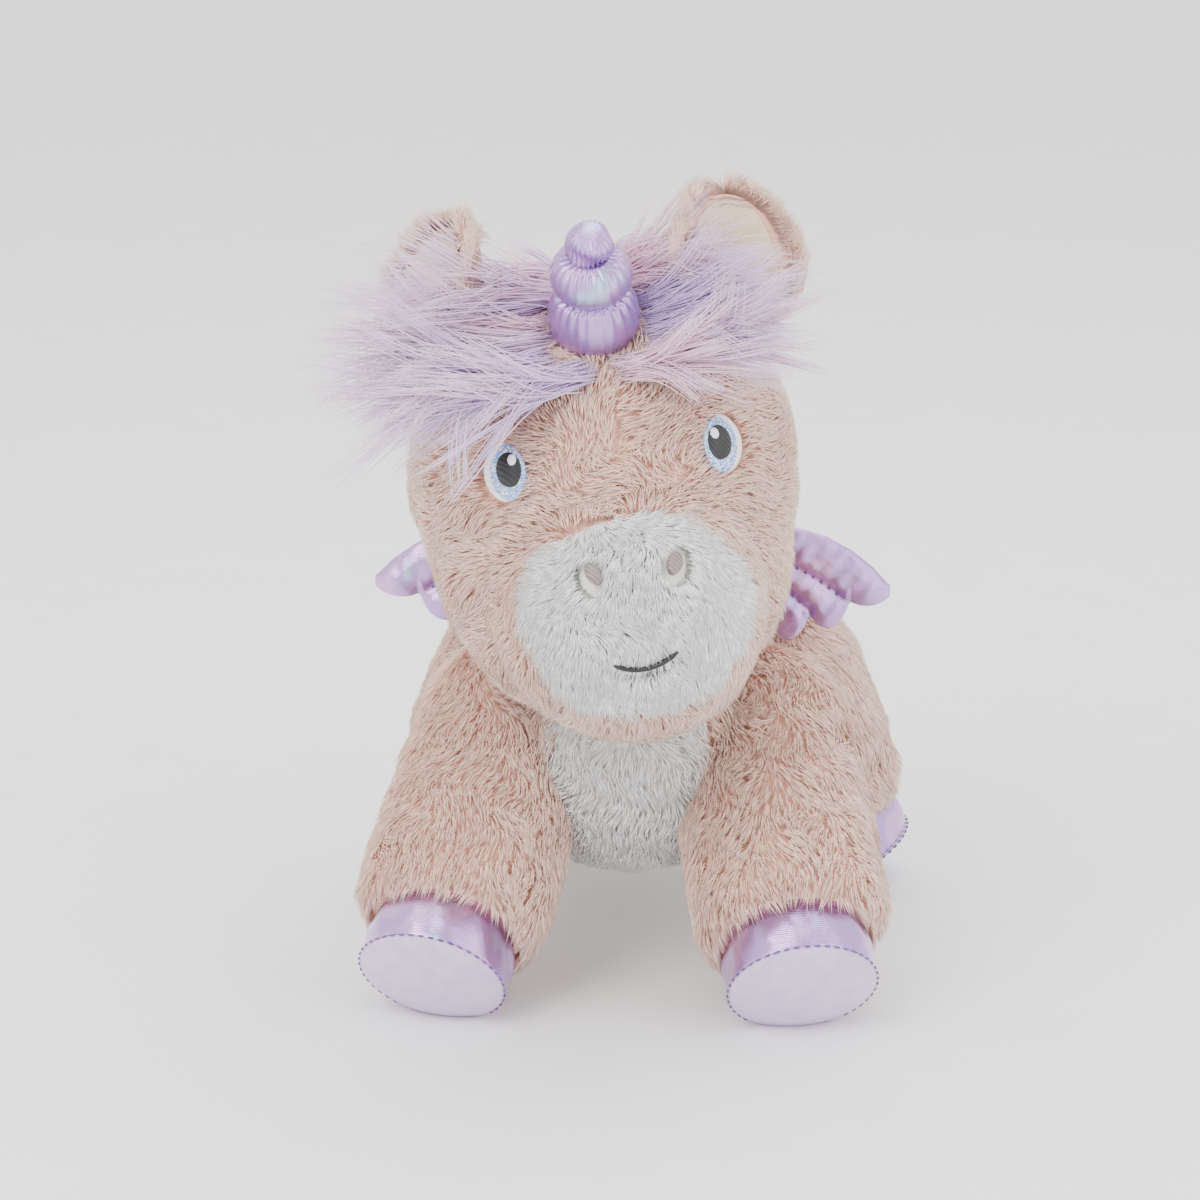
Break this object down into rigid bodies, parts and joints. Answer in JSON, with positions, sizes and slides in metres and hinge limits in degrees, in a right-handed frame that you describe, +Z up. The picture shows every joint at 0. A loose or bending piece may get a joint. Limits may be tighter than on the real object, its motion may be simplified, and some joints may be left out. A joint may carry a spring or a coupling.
{
  "type": "plush unicorn",
  "caption": "Stuffed unicorn toy in pale pink faux fur, standing on short padded legs, with foil hooves, horn and wings, a white muzzle and a long pile forelock.",
  "frame": {"origin": "on the floor, under the middle of the toy's outer box", "axes": "+X to the right of someone facing the toy, the face looks along -Y, +Z up"},
  "size_m": [0.265, 0.3675, 0.3754],
  "materials": {
    "pink_fur": "short faux fur, pale pink",
    "white_fur": "short faux fur, white",
    "long_pile": "long faux fur, pink and lilac",
    "velvet": "cream velvet",
    "foil_fabric": "lilac iridescent foil on knitted cloth",
    "sole_fabric": "pale lilac brushed knit",
    "thread": "twisted sewing thread",
    "black_thread": "satin embroidery",
    "eye_blue_thread": "satin embroidery with glitter thread",
    "eye_white_thread": "satin embroidery",
    "nostril_thread": "satin embroidery",
    "label_satin": "woven satin ribbon",
    "stuffing": "loose polyester fibre"
  },
  "bodies": {
    "torso": {"torso_side_left": "pink_fur", "torso_side_right": "pink_fur", "belly_panel": "white_fur", "torso_filling_left": "stuffing", "torso_filling_right": "stuffing", "closing_stitches": "thread", "care_label": "label_satin"},
    "neck": {"neck_pad": "stuffing"},
    "head": {"head_side_left": "pink_fur", "head_side_right": "pink_fur", "muzzle_panel": "white_fur", "head_filling": "stuffing", "nostrils": "nostril_thread", "mouth_stitch": "black_thread", "forelock": "long_pile", "neck_mane": "long_pile", "horn_cover": "foil_fabric", "horn_filling": "stuffing", "horn_ties": "thread", "eye_left_white": "eye_white_thread", "eye_left_iris": "eye_blue_thread", "eye_left_pupil": "black_thread", "eye_left_highlight": "eye_white_thread", "eye_right_white": "eye_white_thread", "eye_right_iris": "eye_blue_thread", "eye_right_pupil": "black_thread", "eye_right_highlight": "eye_white_thread"},
    "tail": {"tail_tuft": "long_pile"},
    "ear_left": {"ear_left_cover": "pink_fur", "ear_left_lining": "velvet"},
    "wing_left": {"wing_left_front": "foil_fabric", "wing_left_back": "foil_fabric", "wing_left_padding": "stuffing", "wing_left_quilting": "thread"},
    "ear_right": {"ear_right_cover": "pink_fur", "ear_right_lining": "velvet"},
    "wing_right": {"wing_right_front": "foil_fabric", "wing_right_back": "foil_fabric", "wing_right_padding": "stuffing", "wing_right_quilting": "thread"},
    "leg_front_left": {"leg_front_left_sleeve": "pink_fur", "leg_front_left_band": "foil_fabric", "leg_front_left_sole": "sole_fabric", "leg_front_left_stitches": "thread", "leg_front_left_filling": "stuffing"},
    "leg_front_right": {"leg_front_right_sleeve": "pink_fur", "leg_front_right_band": "foil_fabric", "leg_front_right_sole": "sole_fabric", "leg_front_right_stitches": "thread", "leg_front_right_filling": "stuffing"},
    "leg_rear_left": {"leg_rear_left_sleeve": "pink_fur", "leg_rear_left_band": "foil_fabric", "leg_rear_left_sole": "sole_fabric", "leg_rear_left_stitches": "thread", "leg_rear_left_filling": "stuffing"},
    "leg_rear_right": {"leg_rear_right_sleeve": "pink_fur", "leg_rear_right_band": "foil_fabric", "leg_rear_right_sole": "sole_fabric", "leg_rear_right_stitches": "thread", "leg_rear_right_filling": "stuffing"}
  },
  "joints": [
    {"name": "head_nod", "type": "hinge", "parent": "torso", "child": "neck", "pos_m": [-0.00668, -0.0695, 0.20862], "axis": [1, 0, 0], "range_deg": [-10, 10], "stiffness_Nm_per_rad": 6},
    {"name": "head_turn", "type": "hinge", "parent": "neck", "child": "head", "pos_m": [-0.00668, -0.0695, 0.20862], "axis": [-0.1132, 0, 0.9936], "range_deg": [-25, 20], "stiffness_Nm_per_rad": 3},
    {"name": "tail_lift", "type": "hinge", "parent": "torso", "child": "tail", "pos_m": [0, 0.1575, 0.126], "axis": [1, 0, 0], "range_deg": [0, 40], "stiffness_Nm_per_rad": 0.02},
    {"name": "ear_left_flop", "type": "hinge", "parent": "head", "child": "ear_left", "pos_m": [-0.074, -0.0845, 0.3026], "axis": [0.9785, 0.1736, 0.1115], "range_deg": [-15, 15], "stiffness_Nm_per_rad": 0.1},
    {"name": "wing_left_flap", "type": "hinge", "parent": "torso", "child": "wing_left", "pos_m": [-0.028, 0.0305, 0.168], "axis": [0, 1, 0], "range_deg": [-8, 25], "stiffness_Nm_per_rad": 0.15},
    {"name": "ear_right_flop", "type": "hinge", "parent": "head", "child": "ear_right", "pos_m": [0.0395, -0.06435, 0.31554], "axis": [0.9785, 0.1736, 0.1115], "range_deg": [-15, 15], "stiffness_Nm_per_rad": 0.1},
    {"name": "wing_right_flap", "type": "hinge", "parent": "torso", "child": "wing_right", "pos_m": [0.028, 0.0305, 0.168], "axis": [0, -1, 0], "range_deg": [-8, 25], "stiffness_Nm_per_rad": 0.15},
    {"name": "leg_front_left_swing", "type": "hinge", "parent": "torso", "child": "leg_front_left", "pos_m": [-0.06, -0.0295, 0.11], "axis": [-1, 0, 0], "range_deg": [-12, 18], "stiffness_Nm_per_rad": 6},
    {"name": "leg_front_right_swing", "type": "hinge", "parent": "torso", "child": "leg_front_right", "pos_m": [0.06, -0.0295, 0.11], "axis": [-1, 0, 0], "range_deg": [-12, 18], "stiffness_Nm_per_rad": 6},
    {"name": "leg_rear_left_swing", "type": "hinge", "parent": "torso", "child": "leg_rear_left", "pos_m": [-0.06, 0.0805, 0.1], "axis": [-1, 0, 0], "range_deg": [-12, 12], "stiffness_Nm_per_rad": 6},
    {"name": "leg_rear_right_swing", "type": "hinge", "parent": "torso", "child": "leg_rear_right", "pos_m": [0.06, 0.0805, 0.1], "axis": [-1, 0, 0], "range_deg": [-12, 12], "stiffness_Nm_per_rad": 6}
  ]
}
